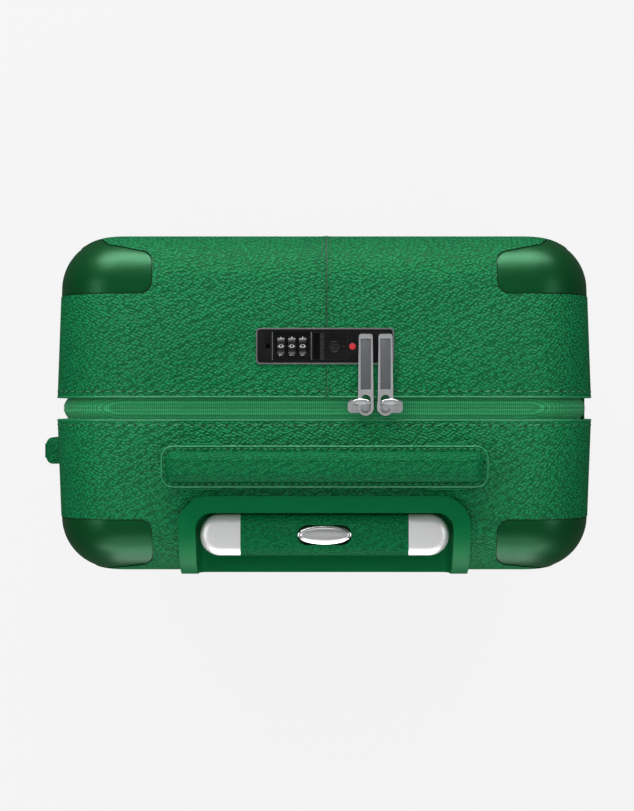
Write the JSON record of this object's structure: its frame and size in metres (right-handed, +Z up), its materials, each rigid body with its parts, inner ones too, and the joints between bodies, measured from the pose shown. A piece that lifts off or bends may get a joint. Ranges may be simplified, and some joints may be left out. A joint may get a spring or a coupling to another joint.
{
  "type": "hard shell suitcase",
  "caption": "Leather-faced hard shell cabin suitcase: zip round the rims, side-hinged lid, telescopic trolley handle, padded carry handles, dial lock, swivelling twin wheels.",
  "frame": {"origin": "on the floor, at the middle of the whole object's footprint", "axes": "+Z up, +Y from the lid towards the rear face with the trolley handle, +X towards the side carry handle"},
  "size_m": [0.3886, 0.23, 0.5486],
  "materials": {
    "green_leather": "pebbled, satin",
    "shell_plastic": "moulded polycarbonate",
    "lining_fabric": "woven polyester",
    "guard_plastic": "satin moulded",
    "steel": "zinc plated",
    "zip_fabric": "herringbone tape with nylon coil",
    "zip_metal": "die-cast, polished",
    "lock_black": "moulded ABS",
    "lock_bright": "plated",
    "dial_black": "moulded, white digits",
    "mark_red": "plain dot",
    "tube_aluminium": "anodised",
    "grip_silver": "satin painted",
    "handle_core": "nylon strip",
    "webbing": "woven strap",
    "wheel_hub": "moulded",
    "tyre": "thermoplastic rubber"
  },
  "bodies": {
    "base": {"base_leather": "green_leather", "base_shell": "shell_plastic", "base_lining": "lining_fabric", "base_corner_guards": "guard_plastic", "rear_wheel_housing_left": "guard_plastic", "rear_wheel_housing_right": "guard_plastic", "base_caster_fixings": "steel", "base_zip_tape": "zip_fabric", "top_handle_anchors": "guard_plastic", "side_handle_anchors": "guard_plastic", "handle_bezel": "guard_plastic", "outer_tubes": "tube_aluminium", "tube_foot_bracket": "guard_plastic", "tube_channel_cover": "handle_core", "packing_straps": "webbing"},
    "lid": {"lid_leather": "green_leather", "lid_shell": "shell_plastic", "lid_lining": "lining_fabric", "lid_corner_guards": "guard_plastic", "front_wheel_housing_left": "guard_plastic", "front_wheel_housing_right": "guard_plastic", "lid_caster_fixings": "steel", "lid_zip_tape": "zip_fabric", "lock_body": "lock_black", "lock_frame": "lock_bright", "dial_axle": "steel", "lock_mark": "mark_red", "lid_pocket": "lining_fabric"},
    "trolley_middle": {"middle_tubes": "tube_aluminium"},
    "trolley_grip": {"inner_tubes": "tube_aluminium", "grip_leather": "green_leather", "grip_core": "handle_core", "grip_end_caps": "grip_silver", "button_spring": "steel"},
    "trolley_button": {"grip_button": "grip_silver"},
    "top_handle": {"top_handle_core": "handle_core", "top_handle_pad": "green_leather"},
    "side_handle": {"side_handle_core": "handle_core", "side_handle_pad": "green_leather"},
    "lock_release": {"lock_release": "lock_black"},
    "key": {"key_cylinder": "lock_bright"},
    "dial_1": {"dial_1": "dial_black"},
    "dial_2": {"dial_2": "dial_black"},
    "dial_3": {"dial_3": "dial_black"},
    "zip_slider_right": {"zip_slider_right": "zip_metal"},
    "zip_pull_right": {"zip_pull_right": "zip_metal"},
    "zip_slider_left": {"zip_slider_left": "zip_metal"},
    "zip_pull_left": {"zip_pull_left": "zip_metal"},
    "rear_left_swivel": {"rear_left_fork": "guard_plastic"},
    "rear_left_wheelset": {"rear_left_wheels": "wheel_hub", "rear_left_tyres": "tyre"},
    "rear_right_swivel": {"rear_right_fork": "guard_plastic"},
    "rear_right_wheelset": {"rear_right_wheels": "wheel_hub", "rear_right_tyres": "tyre"},
    "front_left_swivel": {"front_left_fork": "guard_plastic"},
    "front_left_wheelset": {"front_left_wheels": "wheel_hub", "front_left_tyres": "tyre"},
    "front_right_swivel": {"front_right_fork": "guard_plastic"},
    "front_right_wheelset": {"front_right_wheels": "wheel_hub", "front_right_tyres": "tyre"}
  },
  "joints": [
    {"name": "lid_open", "type": "hinge", "parent": "base", "child": "lid", "pos_m": [-0.1958, 0.0024, 0.283], "axis": [0, 0, -1], "range_deg": [0, 180]},
    {"name": "trolley_lower", "type": "slide", "parent": "base", "child": "trolley_middle", "axis": [0, 0, 1], "range_m": [0, 0.24]},
    {"name": "trolley_upper", "type": "slide", "parent": "trolley_middle", "child": "trolley_grip", "axis": [0, 0, 1], "range_m": [0, 0.24]},
    {"name": "trolley_button_press", "type": "slide", "parent": "trolley_grip", "child": "trolley_button", "axis": [0, 0, -1], "range_m": [0, 0.003], "stiffness_N_per_m": 400, "springref_m": -0.002, "deforming": ["button_spring"]},
    {"name": "top_handle_lift", "type": "slide", "parent": "base", "child": "top_handle", "axis": [0, 0, 1], "range_m": [0, 0.012]},
    {"name": "side_handle_lift", "type": "slide", "parent": "base", "child": "side_handle", "axis": [1, 0, 0], "range_m": [0, 0.012]},
    {"name": "dial_1_turn", "type": "hinge", "parent": "lid", "child": "dial_1", "pos_m": [0.0176, -0.0392, 0.517], "axis": [1, 0, 0], "continuous": true},
    {"name": "dial_2_turn", "type": "hinge", "parent": "lid", "child": "dial_2", "pos_m": [0.0104, -0.0392, 0.517], "axis": [1, 0, 0], "continuous": true},
    {"name": "dial_3_turn", "type": "hinge", "parent": "lid", "child": "dial_3", "pos_m": [0.0032, -0.0392, 0.517], "axis": [1, 0, 0], "continuous": true},
    {"name": "lock_release_slide", "type": "slide", "parent": "lid", "child": "lock_release", "axis": [1, 0, 0], "range_m": [0, 0.0038], "stiffness_N_per_m": 300, "springref_m": -0.002},
    {"name": "key_turn", "type": "hinge", "parent": "lid", "child": "key", "pos_m": [-0.0179, -0.0387, 0.519], "axis": [0, 0, 1], "range_deg": [0, 90]},
    {"name": "zip_slide_right", "type": "slide", "parent": "base", "child": "zip_slider_right", "axis": [1, 0, 0], "range_m": [0, 0.145]},
    {"name": "zip_slide_left", "type": "slide", "parent": "base", "child": "zip_slider_left", "axis": [1, 0, 0], "range_m": [-0.08, 0]},
    {"name": "zip_pull_lift_right", "type": "hinge", "parent": "zip_slider_right", "child": "zip_pull_right", "pos_m": [-0.03438, -0.0013, 0.5287], "axis": [0, 1, 0], "range_deg": [0, 165]},
    {"name": "zip_pull_lift_left", "type": "hinge", "parent": "zip_slider_left", "child": "zip_pull_left", "pos_m": [-0.05593, -0.0013, 0.5287], "axis": [0, -1, 0], "range_deg": [0, 165]},
    {"name": "rear_left_swivel_turn", "type": "hinge", "parent": "base", "child": "rear_left_swivel", "pos_m": [-0.1393, 0.0645, 0.053], "axis": [0, 0, 1], "continuous": true},
    {"name": "rear_left_wheel_spin", "type": "hinge", "parent": "rear_left_swivel", "child": "rear_left_wheelset", "pos_m": [-0.1393, 0.0765, 0.024], "axis": [1, 0, 0], "continuous": true},
    {"name": "rear_right_swivel_turn", "type": "hinge", "parent": "base", "child": "rear_right_swivel", "pos_m": [0.1167, 0.0645, 0.053], "axis": [0, 0, 1], "continuous": true},
    {"name": "rear_right_wheel_spin", "type": "hinge", "parent": "rear_right_swivel", "child": "rear_right_wheelset", "pos_m": [0.1167, 0.0765, 0.024], "axis": [1, 0, 0], "continuous": true},
    {"name": "front_left_swivel_turn", "type": "hinge", "parent": "lid", "child": "front_left_swivel", "pos_m": [-0.1393, -0.0675, 0.053], "axis": [0, 0, 1], "continuous": true},
    {"name": "front_left_wheel_spin", "type": "hinge", "parent": "front_left_swivel", "child": "front_left_wheelset", "pos_m": [-0.1393, -0.0555, 0.024], "axis": [1, 0, 0], "continuous": true},
    {"name": "front_right_swivel_turn", "type": "hinge", "parent": "lid", "child": "front_right_swivel", "pos_m": [0.1167, -0.0675, 0.053], "axis": [0, 0, 1], "continuous": true},
    {"name": "front_right_wheel_spin", "type": "hinge", "parent": "front_right_swivel", "child": "front_right_wheelset", "pos_m": [0.1167, -0.0555, 0.024], "axis": [1, 0, 0], "continuous": true}
  ]
}
